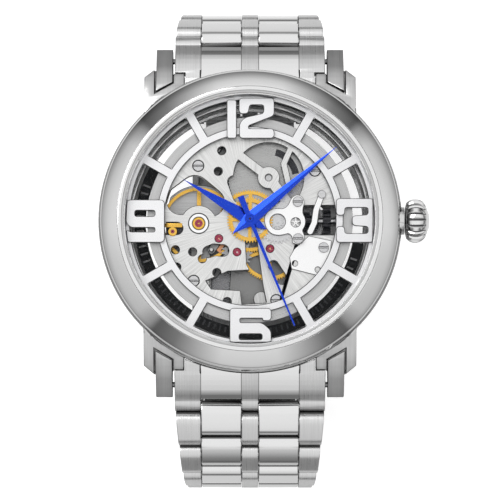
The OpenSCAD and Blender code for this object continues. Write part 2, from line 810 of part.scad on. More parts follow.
module link_6(i) mirror([0, 1, 0]) translate([0, chain_at(slopes_6, i - 1)[0], chain_at(slopes_6, i - 1)[1]])
    rotate([-slopes_6[i - 1], 0, 0]) link_row(i, i == len(slopes_6) ? 6 : 0);

// End link: fills the gap between the lugs and carries the first link's pin
end_arc_at = [18.5, -4.3];
end_arc_r = 11.4;

module end_link_side(reach) {
    top_end = asin((first_hinge[1] + half_t - end_arc_at[1]) / end_arc_r);
    polygon([
        [19.5, first_hinge[1] - half_t], [19.5, end_arc_at[1] + end_arc_r - 0.1],
        for (a = [82:-4:top_end]) end_arc_at + end_arc_r * [cos(a), sin(a)],
        [first_hinge[0] + reach, first_hinge[1] + half_t],
        [first_hinge[0] + reach, first_hinge[1] - half_t]
    ]);
}

module end_link() {
    difference() {
        union() {
            // Brushed columns, whose ends take the pin
            for (x = [[-centre_half, centre_half], [outer_in, lug_in - 0.2], [0.2 - lug_in, -outer_in]]) along_x(x[0], x[1]) {
                end_link_side(-0.65);
                translate([first_hinge[0] - 0.65, first_hinge[1]]) circle(r = half_t);
            }
            intersection() {
                along_x(-10.95, 10.95) {
                    end_link_side(-0.65);
                    translate([first_hinge[0] - 0.65, first_hinge[1]]) circle(r = half_t);
                }
                slab(0, 12) both_sides() translate([9, lug_step_y + 0.15]) square([1.95, 8]);
            }
            // Polished columns
            both_sides() along_x(centre_half - 0.1, outer_in + 0.1) end_link_side(-1.15);
        }
        translate([0, 0, -1]) cylinder(r = case_r + 0.12, h = 12);
        for (p = [first_hinge, spring_bar_at]) translate([-12, p[0], p[1]]) rotate([0, 90, 0])
            cylinder(r = p == first_hinge ? pin_bore_r : 0.85, h = 24);
        // Relief under the pin for the first link's swing
        translate([0, first_hinge[0], first_hinge[1]]) along_x(-12, 12)
            polygon([[0.55, -0.5], [1.1, -0.5], [1.1, -1.6], [-0.67, -1.6]]);
        both_sides() translate([7.18, 19, 5.8]) cube([0.1, 3.1, 3]);
    }
}

module end_links() color("silver") for (s = [0, 1]) mirror([0, s, 0]) end_link();

module spring_bars() color("gray") for (s = [1, -1]) translate([0, s * spring_bar_at[0], spring_bar_at[1]]) {
    rotate([0, 90, 0]) translate([0, 0, -10.6]) cylinder(r = 0.75, h = 21.2);
    both_sides() translate([10.5, 0, 0]) rotate([0, 90, 0]) cylinder(r = 0.4, h = 2.6);
}

// ---------- Clasp ----------

clasp_12 = chain_at(slopes_12, len(slopes_12));
clasp_6 = chain_at(slopes_6, len(slopes_6)) - [2 * chain_at(slopes_6, len(slopes_6))[0], 0];
fold_1 = [-17.5, clasp_12[1] - 0.6];
fold_2 = [13.6, clasp_12[1] - 1.9];
blade_t = 0.8;
knuckle_r = 0.75;
knuckle_pin_r = 0.35;
front_knuckle_r = 0.6;
tongue_t = 0.3;
cover_floor = clasp_12[1] - 3.3;
cover_wall = 0.9;
pusher_y = -6;
eye_in = 1.5;
eye_out = 6.9;

module clasp_inner_blade() color("silver") {
    z0 = clasp_12[1] - blade_t / 2;
    difference() {
        union() {
            translate([-4.8, fold_1[0] + 1.1, z0]) cube([9.6, clasp_12[0] - 0.9 - fold_1[0] - 1.1, blade_t]);
            translate([-6.3, pusher_y - 1.6, z0]) cube([12.6, 3.2, blade_t]);
            along_x(-1.9, 1.9) {
                translate(fold_1) circle(r = knuckle_r);
                translate([fold_1[0], z0]) square([1.4, blade_t]);
            }
            both_sides() along_x(eye_in, eye_out) {
                translate(clasp_12) circle(r = 1);
                translate([clasp_12[0] - 1.6, z0]) square([1.6, blade_t]);
            }
            both_sides() translate([4, clasp_12[0] - 2.6, z0]) cube([eye_out - 4, 1.4, blade_t]);
        }
        along_x(-8, 8) {
            translate(fold_1) circle(r = knuckle_pin_r + 0.05);
            translate(clasp_12) circle(r = pin_r);
        }
        translate([-3, -8, z0 - 1]) cube([6, 12, 3]);
    }
    color("gray") along_x(-8.4, 8.4) translate(clasp_12) circle(r = pin_r);
    color("gray") along_x(-4.7, 4.7) translate(fold_1) circle(r = knuckle_pin_r);
}

// Turns the outer blade and the cover with it, the cover staying level
module folded(whole) {
    turn = [-clasp_open, 0, 0];
    swing = fold_2 - fold_1;
    moved = [swing[0] * cos(clasp_open) + swing[1] * sin(clasp_open),
             swing[1] * cos(clasp_open) - swing[0] * sin(clasp_open)] - swing;
    if (whole) translate([0, fold_1[0], fold_1[1]]) rotate(turn) translate([0, -fold_1[0], -fold_1[1]]) children();
    else translate([0, moved[0], moved[1]]) children();
}

module clasp_outer_blade() folded(true) color("silver") {
    z0 = clasp_12[1] - 1.65;
    difference() {
        union() {
            translate([-4.6, fold_1[0] + 1, z0]) cube([9.2, fold_2[0] - fold_1[0] - 2, blade_t]);
            both_sides() {
                along_x(2.1, 4.6) {
                    translate(fold_1) circle(r = knuckle_r);
                    translate([fold_1[0], z0]) square([1.4, blade_t]);
                }
            }
            along_x(-1.9, 1.9) {
                translate(fold_2) circle(r = front_knuckle_r);
                translate([fold_2[0] - 1.4, z0]) square([1.4, tongue_t]);
            }
        }
        along_x(-8, 8) {
            translate(fold_1) circle(r = knuckle_pin_r + 0.05);
            translate(fold_2) circle(r = knuckle_pin_r);
        }
        translate([-2.6, -9, z0 - 1]) cube([5.2, 14, 3]);
    }
    color("gray") along_x(-4.7, 4.7) translate(fold_2) circle(r = knuckle_pin_r);
}

module clasp_cover() folded(false) color("silver") {
    half = clasp_w / 2;
    y0 = -21.4;
    y1 = 16;
    difference() {
        union() {
            translate([-half, y0, cover_floor]) cube([2 * half, y1 - y0, 0.75]);
            both_sides() translate([half - cover_wall, y0 + 2, cover_floor]) cube([cover_wall, y1 - y0 - 4, 3.5]);
            both_sides() along_x(2.1, 4.6) {
                translate(fold_2) circle(r = knuckle_r);
                translate([fold_2[0] - 0.75, cover_floor + 0.2]) square([1.5, fold_2[1] - cover_floor - 0.2]);
            }
            both_sides() along_x(eye_in, eye_out) {
                translate(clasp_6) circle(r = 0.85);
                polygon([[clasp_6[0], clasp_6[1] - 0.8], [clasp_6[0] + 0.6, clasp_6[1] + 0.5],
                         [y0 + 0.5, cover_floor + 0.75], [y0 + 0.1, cover_floor]]);
            }
        }
        along_x(-8, 8) {
            translate(fold_2) circle(r = knuckle_pin_r + 0.05);
            translate(clasp_6) circle(r = 0.5);
        }
        both_sides() translate([half - 3, pusher_y, cover_floor + 2.2]) rotate([0, 90, 0]) cylinder(r = 0.9, h = 6);
    }
    color("gray") both_sides() along_x(eye_in, eye_out) translate(clasp_6) circle(r = 0.5);
}

module clasp_pusher() {
    translate([clasp_w / 2 - 1.9, pusher_y, cover_floor + 2.2]) rotate([0, 90, 0]) cylinder(r = 0.8, h = 2.8);
    translate([clasp_w / 2 - 1.9, pusher_y, cover_floor + 2.2]) rotate([0, 90, 0]) cylinder(r = 1.05, h = 0.4);
}

module clasp_pusher_left() folded(false) color("whitesmoke") mirror([1, 0, 0]) clasp_pusher();
module clasp_pusher_right() folded(false) color("whitesmoke") clasp_pusher();

// ---------- Assembly ----------

case_middle();
bezel();
crystal();
gaskets();
rehaut_ring();
dial();
numerals();
movement_ring();
case_back();
back_crystal();
crown();
hour_hand();
minute_hand();
seconds_hand();
main_plate();
bridges();
balance_cock();
barrel();
ratchet_wheel();
crown_wheel();
centre_wheel();
third_wheel();
fourth_wheel();
escape_wheel();
pallet_fork();
balance_wheel();
hairspring();
minute_wheel();
hour_wheel();
motion_bridge();
keyless_cover();
setting_lever();
winding_stem();
winding_pinions();
rotor_bridge();
rotor();
jewels();
movement_screws();
end_links();
spring_bars();
link_12(1);  // link_12_1
link_12(2);  // link_12_2
link_12(3);  // link_12_3
link_12(4);  // link_12_4
link_12(5);  // link_12_5
link_12(6);  // link_12_6
link_12(7);  // link_12_7
link_6(1);  // link_6_1
link_6(2);  // link_6_2
link_6(3);  // link_6_3
link_6(4);  // link_6_4
link_6(5);  // link_6_5
link_6(6);  // link_6_6
link_6(7);  // link_6_7
link_6(8);  // link_6_8
clasp_inner_blade();
clasp_outer_blade();
clasp_cover();
clasp_pusher_left();
clasp_pusher_right();
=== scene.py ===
"""Looks of the skeleton wristwatch: finishes, fine edges, print, light and camera."""

import json
import math

import bmesh
import bpy
from mathutils import Matrix, Vector
from mathutils.geometry import tessellate_polygon


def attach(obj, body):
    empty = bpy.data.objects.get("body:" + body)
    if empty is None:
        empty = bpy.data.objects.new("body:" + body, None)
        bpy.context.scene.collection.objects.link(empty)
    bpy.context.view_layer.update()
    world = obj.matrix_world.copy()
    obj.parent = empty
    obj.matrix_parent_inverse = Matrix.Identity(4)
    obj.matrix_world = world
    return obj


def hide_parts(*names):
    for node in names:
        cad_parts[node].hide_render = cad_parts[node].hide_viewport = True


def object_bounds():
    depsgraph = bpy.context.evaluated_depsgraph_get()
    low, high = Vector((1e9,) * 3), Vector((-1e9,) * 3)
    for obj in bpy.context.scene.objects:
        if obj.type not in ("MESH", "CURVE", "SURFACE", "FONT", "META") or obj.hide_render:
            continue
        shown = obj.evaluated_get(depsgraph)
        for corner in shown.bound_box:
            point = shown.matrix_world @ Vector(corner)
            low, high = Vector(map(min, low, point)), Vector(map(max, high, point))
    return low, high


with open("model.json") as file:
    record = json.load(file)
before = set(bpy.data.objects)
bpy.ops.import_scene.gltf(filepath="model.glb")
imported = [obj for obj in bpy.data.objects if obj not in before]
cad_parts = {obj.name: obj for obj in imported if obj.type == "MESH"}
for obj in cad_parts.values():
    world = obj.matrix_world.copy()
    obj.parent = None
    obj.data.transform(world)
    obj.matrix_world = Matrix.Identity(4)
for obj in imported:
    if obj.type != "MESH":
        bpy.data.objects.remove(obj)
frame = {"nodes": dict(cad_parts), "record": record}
cad_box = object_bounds()

MM = 0.001
BODY_OF = {n: body for body, names in frame["record"]["behaviour"]["bodies"].items() for n in names}
HEAD = BODY_OF["case_middle"]

# ---------- Node helpers ----------


def add(tree, kind, inputs=None, **settings):
    """A new node. An input given as a socket is linked, and any other value is set on the socket."""
    node = tree.nodes.new(kind)
    for key, value in settings.items():
        setattr(node, key, value)
    for key, value in (inputs or {}).items():
        if isinstance(value, bpy.types.NodeSocket):
            tree.links.new(value, node.inputs[key])
        else:
            node.inputs[key].default_value = value
    return node


def maths(tree, operation, a, b=0.0):
    return add(tree, "ShaderNodeMath", {0: a, 1: b}, operation=operation).outputs[0]


def ramp(tree, factor, stops, interpolation="LINEAR"):
    """A colour ramp from (place, grey or colour) stops."""
    node = add(tree, "ShaderNodeValToRGB", {0: factor})
    node.color_ramp.interpolation = interpolation
    points = node.color_ramp.elements
    while len(points) < len(stops):
        points.new(0.5)
    for point, (place, colour) in zip(points, stops):
        point.position = place
        point.color = (*colour, 1) if isinstance(colour, tuple) else (colour, colour, colour, 1)
    return node.outputs[0]


def grain_coordinates(tree, kind, fineness):
    """Texture coordinates stretched along the brushing. Fineness is lines per metre."""
    place = add(tree, "ShaderNodeTexCoord").outputs["Object"]
    along = fineness / 60
    if kind in ("round", "sun"):
        parts = add(tree, "ShaderNodeSeparateXYZ", {0: place})
        x, y, z = parts.outputs
        squares = maths(tree, "ADD", maths(tree, "MULTIPLY", x, x), maths(tree, "MULTIPLY", y, y))
        radius = maths(tree, "SQRT", squares)
        angle = maths(tree, "ARCTAN2", y, x)
        if kind == "round":
            across, up = (maths(tree, "MULTIPLY", part, fineness) for part in (radius, z))
            values = {0: across, 1: angle, 2: up}
        else:
            around = maths(tree, "MULTIPLY", angle, fineness / 80)
            values = {0: around, 1: maths(tree, "MULTIPLY", radius, along)}
        return add(tree, "ShaderNodeCombineXYZ", values).outputs[0]
    scale = {
        "long": (fineness, along, along),
        "diagonal": (along, fineness, fineness),
        "even": (fineness, fineness, fineness),
    }[kind]
    turn = (0, 0, math.radians(52 if kind == "diagonal" else 0))
    values = {"Vector": place, "Scale": scale, "Rotation": turn}
    return add(tree, "ShaderNodeMapping", values).outputs[0]


def darkened(tree, paint, factor, stops):
    """The paint multiplied by a grey ramp of the factor: painted shade."""
    shading = ramp(tree, factor, stops)
    return add(tree, "ShaderNodeMixRGB", {0: 1.0, 1: paint, 2: shading}, blend_type="MULTIPLY").outputs[0]


def levelness(tree):
    """One on faces that look straight up or down, and nothing on upright ones."""
    normal = add(tree, "ShaderNodeTexCoord").outputs["Normal"]
    return maths(tree, "ABSOLUTE", add(tree, "ShaderNodeSeparateXYZ", {0: normal}).outputs[2])


def noise(tree, place, scale, detail, roughness):
    values = {"Vector": place, "Scale": scale, "Detail": detail, "Roughness": roughness}
    return add(tree, "ShaderNodeTexNoise", values).outputs[0]


def centred(tree, value, spread):
    """A noise value turned into one between minus and plus the spread."""
    return maths(tree, "MULTIPLY", maths(tree, "SUBTRACT", value, 0.5), 2 * spread)


# Height over which the painted shade on the movement's low parts fades out
DEPTH_SHADE_HEIGHT = 10 * MM
LEAST_ROUGHNESS = 0.03
GRAIN_DEPTH = 0.02 * MM


def finish(
    name, colour, roughness, grain, fineness, spread, relief, shade,
    metallic=1.0, smear=0.05, coat=0.0, painted_wall_shade=None, painted_depth_shade=None, painted_steep_shade=None,
):
    """A finish with fine grain in colour, roughness and relief, over broad faint handling marks.

    The last three say how dark painted shade makes upright and chamfered faces, the lowest of the
    movement's parts, and the outside's steep faces, where it stands for dark reflections.
    """
    material = bpy.data.materials.new(name)
    material.use_nodes = True
    tree = material.node_tree
    shader = tree.nodes["Principled BSDF"]
    fine = noise(tree, grain_coordinates(tree, grain, fineness), 1.0, 3.0, 0.6)
    place = add(tree, "ShaderNodeTexCoord").outputs["Object"]
    broad = noise(tree, place, 260.0, 4.0, 0.55)
    dark = tuple(c * shade for c in colour)
    paint = ramp(tree, fine, [(0.25, dark), (0.75, colour)])
    # Painted shade: upright and chamfered faces darkened by how far they turn from level
    if painted_wall_shade is not None:
        stops = [(0.3, painted_wall_shade * 0.5), (0.75, painted_wall_shade), (0.95, 1.0)]
        paint = darkened(tree, paint, levelness(tree), stops)
    # Painted shade on the outside's steep faces, standing for the dark reflections they would show
    if painted_steep_shade is not None:
        stops = [(0.0, painted_steep_shade), (0.6, 0.4 + painted_steep_shade), (0.93, 1.0)]
        paint = darkened(tree, paint, levelness(tree), stops)
    # Painted shade: the movement darkened toward its lowest parts, by height
    if painted_depth_shade is not None:
        z = add(tree, "ShaderNodeSeparateXYZ", {0: place}).outputs[2]
        stops = [(0.15, painted_depth_shade), (0.42, painted_depth_shade * 1.25), (0.66, (1 + painted_depth_shade) * 0.5), (0.8, 1.0)]
        paint = darkened(tree, paint, maths(tree, "MULTIPLY", z, 1 / DEPTH_SHADE_HEIGHT), stops)
    tree.links.new(paint, shader.inputs["Base Color"])
    uneven = maths(tree, "ADD", centred(tree, fine, spread), centred(tree, broad, smear))
    total = maths(tree, "MAXIMUM", maths(tree, "ADD", uneven, roughness), LEAST_ROUGHNESS)
    tree.links.new(total, shader.inputs["Roughness"])
    values = {"Strength": relief, "Distance": GRAIN_DEPTH, "Height": fine}
    bump = add(tree, "ShaderNodeBump", values).outputs[0]
    tree.links.new(bump, shader.inputs["Normal"])
    shader.inputs["Metallic"].default_value = metallic
    shader.inputs["Coat Weight"].default_value = coat
    return material


def glass(name, tint, alpha):
    """Thin clear glass: nearly transparent, with a soft reflection and faint dust."""
    material = finish(name, tint, 0.05, "even", 3000, 0.03, 0.02, 0.8, 0.0, 0.02)
    shader = material.node_tree.nodes["Principled BSDF"]
    shader.inputs["Alpha"].default_value = alpha
    shader.inputs["IOR"].default_value = 1.5
    return material


# Colour, roughness, grain, lines per metre, spread of the grain, relief, shade of its dark lines
FINISHES = {}
# The extras that darken upright faces, low parts and steep faces paint shade into the colour
for name, *look, more in (
    ("polished_steel", (0.8, 0.8, 0.8), 0.07, "even", 5000, 0.02, 0.02, 0.97, {"smear": 0.03, "painted_steep_shade": 0.22}),
    ("brushed_steel", (0.72, 0.72, 0.72), 0.3, "long", 9000, 0.1, 0.35, 0.82, {"painted_steep_shade": 0.22}),
    ("band_steel", (0.74, 0.74, 0.74), 0.24, "round", 7000, 0.08, 0.25, 0.86, {"painted_steep_shade": 0.3}),
    # A darker copy of the case steel: painted shade on the lugs
    ("lug_steel", (0.58, 0.58, 0.58), 0.32, "long", 8000, 0.08, 0.3, 0.85, {"painted_steep_shade": 0.1}),
    # A dark copy of the steel: painted shade on the clasp inside the bracelet's loop
    ("clasp_steel", (0.3, 0.3, 0.3), 0.3, "long", 8000, 0.09, 0.3, 0.85, {}),
    # A dark copy of the steel: painted shade on the bracelet's inner side and in the gaps between its columns
    ("inner_steel", (0.26, 0.26, 0.26), 0.34, "long", 8000, 0.09, 0.3, 0.85, {}),
    ("satin_silver", (0.93, 0.93, 0.94), 0.42, "even", 12000, 0.05, 0.1, 0.96, {"metallic": 0.9}),
    ("dial_silver", (0.86, 0.86, 0.87), 0.4, "even", 12000, 0.05, 0.1, 0.95, {"metallic": 0.9, "painted_wall_shade": 0.16}),
    ("plate_silver", (0.93, 0.93, 0.92), 0.32, "sun", 6500, 0.1, 0.3, 0.58, {"painted_wall_shade": 0.12, "painted_depth_shade": 0.22}),
    ("bridge_silver", (0.9, 0.9, 0.89), 0.3, "even", 9000, 0.06, 0.2, 0.88, {"painted_wall_shade": 0.12, "painted_depth_shade": 0.22}),
    # A darker copy of the silver: painted shade on the balance cock deep in the movement
    ("cock_silver", (0.62, 0.62, 0.62), 0.34, "diagonal", 9000, 0.08, 0.3, 0.7, {"painted_wall_shade": 0.1}),
    ("cover_silver", (0.97, 0.97, 0.97), 0.36, "even", 9000, 0.04, 0.1, 0.96, {"painted_wall_shade": 0.12}),
    ("plated_brass", (0.88, 0.88, 0.87), 0.28, "round", 9000, 0.06, 0.15, 0.85, {"painted_wall_shade": 0.2, "painted_depth_shade": 0.2}),
    ("ring_silver", (0.6, 0.6, 0.6), 0.3, "round", 9000, 0.06, 0.15, 0.8, {"painted_wall_shade": 0.1}),
    ("gilt_brass", (0.95, 0.57, 0.11), 0.24, "round", 6000, 0.06, 0.15, 0.85, {"painted_wall_shade": 0.45}),
    ("copper", (0.8, 0.4, 0.22), 0.3, "even", 8000, 0.06, 0.15, 0.85, {}),
    ("blued_steel", (0.02, 0.07, 0.66), 0.22, "even", 7000, 0.04, 0.08, 0.88, {}),
    ("hard_steel", (0.72, 0.72, 0.73), 0.22, "even", 8000, 0.07, 0.15, 0.85, {"painted_wall_shade": 0.12, "painted_depth_shade": 0.25}),
    # Near-black steel: painted shade in flutes, holes, slots and under parts
    ("dark_steel", (0.06, 0.06, 0.065), 0.35, "even", 8000, 0.07, 0.15, 0.8, {}),
    ("spring_alloy", (0.45, 0.47, 0.52), 0.25, "even", 9000, 0.05, 0.1, 0.85, {}),
    # A dark copy of the steel: painted shade on the rotor under the movement
    ("rotor_steel", (0.3, 0.3, 0.31), 0.28, "round", 6000, 0.09, 0.3, 0.84, {}),
    ("white_gasket", (0.5, 0.5, 0.5), 0.4, "even", 9000, 0.08, 0.1, 0.9, {"metallic": 0.0}),
    ("rubber", (0.035, 0.035, 0.04), 0.6, "even", 9000, 0.08, 0.3, 0.8, {"metallic": 0.0}),
    ("black_print", (0.006, 0.006, 0.007), 0.5, "even", 9000, 0.05, 0.05, 0.8, {"metallic": 0.0}),
    ("pale_print", (0.75, 0.75, 0.76), 0.5, "even", 9000, 0.05, 0.05, 0.9, {"metallic": 0.0}),
    ("grey_print", (0.1, 0.1, 0.11), 0.5, "even", 9000, 0.05, 0.05, 0.9, {"metallic": 0.0}),
    ("ruby", (0.4, 0.02, 0.07), 0.12, "even", 6000, 0.03, 0.03, 0.7, {"metallic": 0.0, "coat": 0.6}),
):
    FINISHES[name] = finish(name, *look, **more)
FINISHES["glass"] = glass("glass", (0.05, 0.06, 0.07), 0.03)

# ---------- Mesh helpers ----------


def new_piece(name, bm, finishes, body=HEAD, nodes=(), smooth=30, flat=False):
    """Turns a bmesh into a piece that rides on a body and stands for its CAD nodes."""
    bmesh.ops.recalc_face_normals(bm, faces=bm.faces)
    mesh = bpy.data.meshes.new(name)
    bm.to_mesh(mesh)
    bm.free()
    finishes = [finishes] if isinstance(finishes, str) else finishes
    for f in finishes:
        mesh.materials.append(FINISHES[f])
    if not flat:
        mesh.shade_smooth()
        mesh.set_sharp_from_angle(angle=math.radians(smooth))
    piece = bpy.data.objects.new(name, mesh)
    bpy.context.scene.collection.objects.link(piece)
    if nodes:
        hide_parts(*nodes)
    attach(piece, body)
    return piece


def bevelled(bm, edges, width, segments, clamp):
    """Rounds edges off by a width in millimetres."""
    bmesh.ops.bevel(
        bm, geom=edges, offset=width * MM, segments=segments, profile=0.6, affect="EDGES", clamp_overlap=clamp
    )


SHARP = math.radians(28)


def refined(node, finishes, width, choose=None, segments=2, smooth=30, shape=None):
    """A copy of a CAD node with its flat faces merged and its edges softened by width millimetres."""
    bm = bmesh.new()
    bm.from_mesh(frame["nodes"][node].data)
    bmesh.ops.remove_doubles(bm, verts=bm.verts, dist=1e-7)
    bmesh.ops.dissolve_limit(
        bm, angle_limit=math.radians(1), verts=bm.verts, edges=bm.edges, delimit={"NORMAL"}
    )
    if shape:
        shape(bm)
    edges = [e for e in bm.edges if e.is_manifold and e.calc_face_angle() > SHARP]
    bevelled(bm, edges, width, segments, False)
    if choose:
        for face in bm.faces:
            face.material_index = choose(face.calc_center_median() / MM, face.normal)
    return new_piece(node + "_fine", bm, finishes, BODY_OF[node], [node], smooth)


def cut(bm, place, normal, reach=100):
    """Cuts the faces shorter than reach along a plane through a place in millimetres."""
    faces = []
    for face in bm.faces:
        along = [v.co.y for v in face.verts]
        if max(along) - min(along) < reach * MM:
            faces.append(face)
    edges = {e for f in faces for e in f.edges}
    verts = {v for f in faces for v in f.verts}
    parts = [*verts, *edges, *faces]
    bmesh.ops.bisect_plane(bm, geom=parts, plane_co=Vector(place) * MM, plane_no=normal)


DROOP_CUTS = 12
LONGEST_CUT = 12


def droop(bm, first, last, amount, low, high):
    """Curves the top down toward both ends of the watch, between two distances from its middle."""
    for k in range(DROOP_CUTS):
        y = first + (last - first) * k / (DROOP_CUTS - 1)
        for side in (y, -y):
            cut(bm, (0, side, 0), (0, 1, 0), LONGEST_CUT)
    for v in bm.verts:
        past = max(0.0, abs(v.co.y) / MM - first)
        share = min(1.0, max(0.0, (v.co.z / MM - low) / (high - low)))
        v.co.z -= amount * past * past * share * MM


LOOP_MIDDLE = -14 * MM
CROWN_CUTS = 7
CROWNING = 0.2


def crowned(bm):
    """Gives a link's outer side a slight curve along its length."""
    count = len(bm.verts)
    my = sum(v.co.y for v in bm.verts) / count
    mz = sum(v.co.z for v in bm.verts) / count
    syy = sum((v.co.y - my) ** 2 for v in bm.verts)
    szz = sum((v.co.z - mz) ** 2 for v in bm.verts)
    syz = sum((v.co.y - my) * (v.co.z - mz) for v in bm.verts)
    turn = 0.5 * math.atan2(2 * syz, syy - szz)
    along = Vector((0, math.cos(turn), math.sin(turn)))
    outward = Vector((0, -math.sin(turn), math.cos(turn)))
    if outward.dot(Vector((0, my, mz - LOOP_MIDDLE))) < 0:
        outward = -outward
    reach = [v.co.dot(along) for v in bm.verts]
    rise = [v.co.dot(outward) for v in bm.verts]
    middle, half = (max(reach) + min(reach)) / 2, (max(reach) - min(reach)) / 2
    level = (max(rise) + min(rise)) / 2
    for k in range(1 - CROWN_CUTS, CROWN_CUTS):
        cut(bm, (along * (middle + half * k / CROWN_CUTS) + outward * level) / MM, along)
    for v in bm.verts:
        height = v.co.dot(outward) - level
        if height > 0:
            v.co -= outward * height * CROWNING * ((v.co.dot(along) - middle) / half) ** 2


def rounded(points, radius, steps=4):
    """The closed outline with every corner rounded."""
    result = []
    count = len(points)
    for i, corner in enumerate(points):
        before, after = Vector(points[i - 1]), Vector(points[(i + 1) % count])
        corner = Vector(corner)
        to_before, to_after = before - corner, after - corner
        trim = min(radius, to_before.length * 0.45, to_after.length * 0.45)
        start = corner + to_before.normalized() * trim
        end = corner + to_after.normalized() * trim
        for k in range(steps + 1):
            t = k / steps
            result.append((1 - t) ** 2 * start + 2 * t * (1 - t) * corner + t * t * end)
    return result


def extrude(bm, outline, z0, z1, bevel=0.0, place=None):
    """Adds a flat piece of the outline, in millimetres, between two heights."""
    before = set(bm.verts)
    verts = [bm.verts.new((x * MM, y * MM, z0 * MM)) for x, y in outline]
    bottom = bm.faces.new(verts)
    made = bmesh.ops.extrude_face_region(bm, geom=[bottom])["geom"]
    raised = [g for g in made if isinstance(g, bmesh.types.BMVert)]
    bmesh.ops.translate(bm, verts=raised, vec=(0, 0, (z1 - z0) * MM))
    if bevel:
        rim = [e for v in raised for e in v.link_edges if all(w in raised for w in e.verts)]
        bevelled(bm, list(set(rim)), bevel, 2, True)
    if place is not None:
        bmesh.ops.transform(bm, matrix=place, verts=[v for v in bm.verts if v not in before])


def offset(outline, distance):
    """The outline moved inward by a small distance, for a counter-clockwise outline."""
    result = []
    for i, here in enumerate(outline):
        along = (Vector(outline[(i + 1) % len(outline)]) - Vector(outline[i - 1])).normalized()
        result.append(Vector(here) + Vector((-along.y, along.x)) * distance)
    return result


def plate(bm, loops, z0, z1, chamfer):
    """Adds a flat piece whose chamfers lie outside the outline.

    The first loop runs counter-clockwise, and the holes clockwise.
    """
    tops = []
    for loop in loops:
        rows = []
        for z, inset in ((z0, -chamfer), (z1 - chamfer, -chamfer), (z1, 0.0)):
            rows.append([bm.verts.new((x * MM, y * MM, z * MM)) for x, y in offset(loop, inset)])
        for low, high in zip(rows, rows[1:]):
            for i in range(len(loop)):
                j = (i + 1) % len(loop)
                bm.faces.new((low[i], low[j], high[j], high[i]))
        tops.append(rows[-1])
    flat = [v for row in tops for v in row]
    for triangle in tessellate_polygon([[v.co for v in row] for row in tops]):
        bm.faces.new([flat[i] for i in triangle])


def turned(bm, x, y, profile, material=0, segments=40):
    """Adds a closed (radius, height) outline in millimetres, turned around an upright axis at (x, y)."""
    rings = []
    for k in range(segments):
        a = 2 * math.pi * k / segments
        c, s = math.cos(a), math.sin(a)
        rings.append([bm.verts.new(((x + r * c) * MM, (y + r * s) * MM, z * MM)) for r, z in profile])
    for k in range(segments):
        here, there = rings[k], rings[(k + 1) % segments]
        for i in range(len(profile)):
            j = (i + 1) % len(profile)
            bm.faces.new((here[i], there[i], there[j], here[j])).material_index = material


def circle(x, y, radius, count=32):
    """A counter-clockwise circle of points."""
    angles = [2 * math.pi * k / count for k in range(count)]
    return [(x + radius * math.cos(a), y + radius * math.sin(a)) for a in angles]


def bar(x0, x1, half):
    """Outline of a bar along X."""
    return [(x0, -half), (x1, -half), (x1, half), (x0, half)]


def sector(r_in, r_out, a0, a1, step=3):
    """Outline of a piece of a flat ring between two directions in degrees."""
    count = max(1, round((a1 - a0) / step))
    angles = [math.radians(a0 + (a1 - a0) * i / count) for i in range(count + 1)]
    outer = [(r_out * math.cos(a), r_out * math.sin(a)) for a in angles]
    inner = [(r_in * math.cos(a), r_in * math.sin(a)) for a in reversed(angles)]
    return outer + inner


# ---------- Case ----------

# The bezel's outline, as (radius, height)
BEZEL = [
    (19.85, 8.62), (20.6, 8.62), (20.6, 9.0), (21.6, 9.0), (21.6, 10.3), (21.4, 10.6), (19.14, 12.26),
    (19.1, 12.2), (19.06, 12.36), (18.52, 12.42), (18.5, 11.4), (18.02, 11.4), (18.02, 10.65),
    (18.55, 10.65), (18.55, 9.87), (19.85, 9.87),
]
bm = bmesh.new()
turned(bm, 0, 0, rounded(BEZEL, 0.05, 3), 0, 240)
new_piece("bezel_fine", bm, "polished_steel", HEAD, ["bezel"], 40)

BAND_RADIUS, BAND_TOP = 22.05, 9


def case_finish(centre, _):
    """The band is finished around the watch and the lugs along it, in a darker steel as painted shade."""
    in_band = math.hypot(centre.x, centre.y) < BAND_RADIUS and centre.z < BAND_TOP
    return 0 if in_band else 1


def lug_shape(bm):
    """Curves the lugs down."""
    droop(bm, 18.6, 25.3, 0.02, 1.5, 5.5)


refined("case_middle", ["band_steel", "lug_steel"], 0.12, case_finish, shape=lug_shape)
refined("case_back", "band_steel", 0.06)
refined("rehaut_ring", "satin_silver", 0.03)

# ---------- Crown ----------

CROWN_X, CROWN_Z = 22.5, 6.7
FLUTES = 20
FLUTE_DEPTH = 0.26


def crown_mesh():
    """A domed crown along +X whose rim has soft flutes, with painted shade in them."""
    dome = [(0.02, 0.0), (2.1, 0.0), (2.5, 0.15)]
    for degrees in range(-50, 80, 8):
        a = math.radians(degrees)
        dome.append((1.45 + 1.75 * math.cos(a), 1.5 + 1.75 * math.sin(a)))
    dome += [(1.1, 3.5), (0.6, 3.53), (0.02, 3.55)]
    columns = FLUTES * 12
    bm = bmesh.new()
    grid = []
    for k in range(columns):
        a = 2 * math.pi * k / columns
        dip = FLUTE_DEPTH * max(0.0, math.cos(FLUTES * a)) ** 1.5
        row = []
        for r, x in dome:
            low = r - dip * min(1.0, max(0.0, (r - 2.45) / 0.45))
            place = (CROWN_X + x, low * math.cos(a), CROWN_Z + low * math.sin(a))
            row.append(bm.verts.new(Vector(place) * MM))
        grid.append(row)
    for k in range(columns):
        here, there = grid[k], grid[(k + 1) % columns]
        flute = math.cos(FLUTES * 2 * math.pi * (k + 0.5) / columns) > 0.8
        for i in range(len(dome) - 1):
            face = bm.faces.new((here[i], there[i], there[i + 1], here[i + 1]))
            # Flute faces near the rim take the near-black steel: painted shade in the grooves
            face.material_index = 1 if flute and dome[i][0] > 2.5 else 0
    for end in (0, -1):
        bm.faces.new([row[end] for row in grid])
    return bm


new_piece("crown_fine", crown_mesh(), ["polished_steel", "dark_steel"], BODY_OF["crown"], ["crown"], 40)

# ---------- Dial, print and hands ----------

refined("dial", "dial_silver", 0.1, segments=1, smooth=15)

NUMERAL_LOW, NUMERAL_TOP = 9.5, 10.2
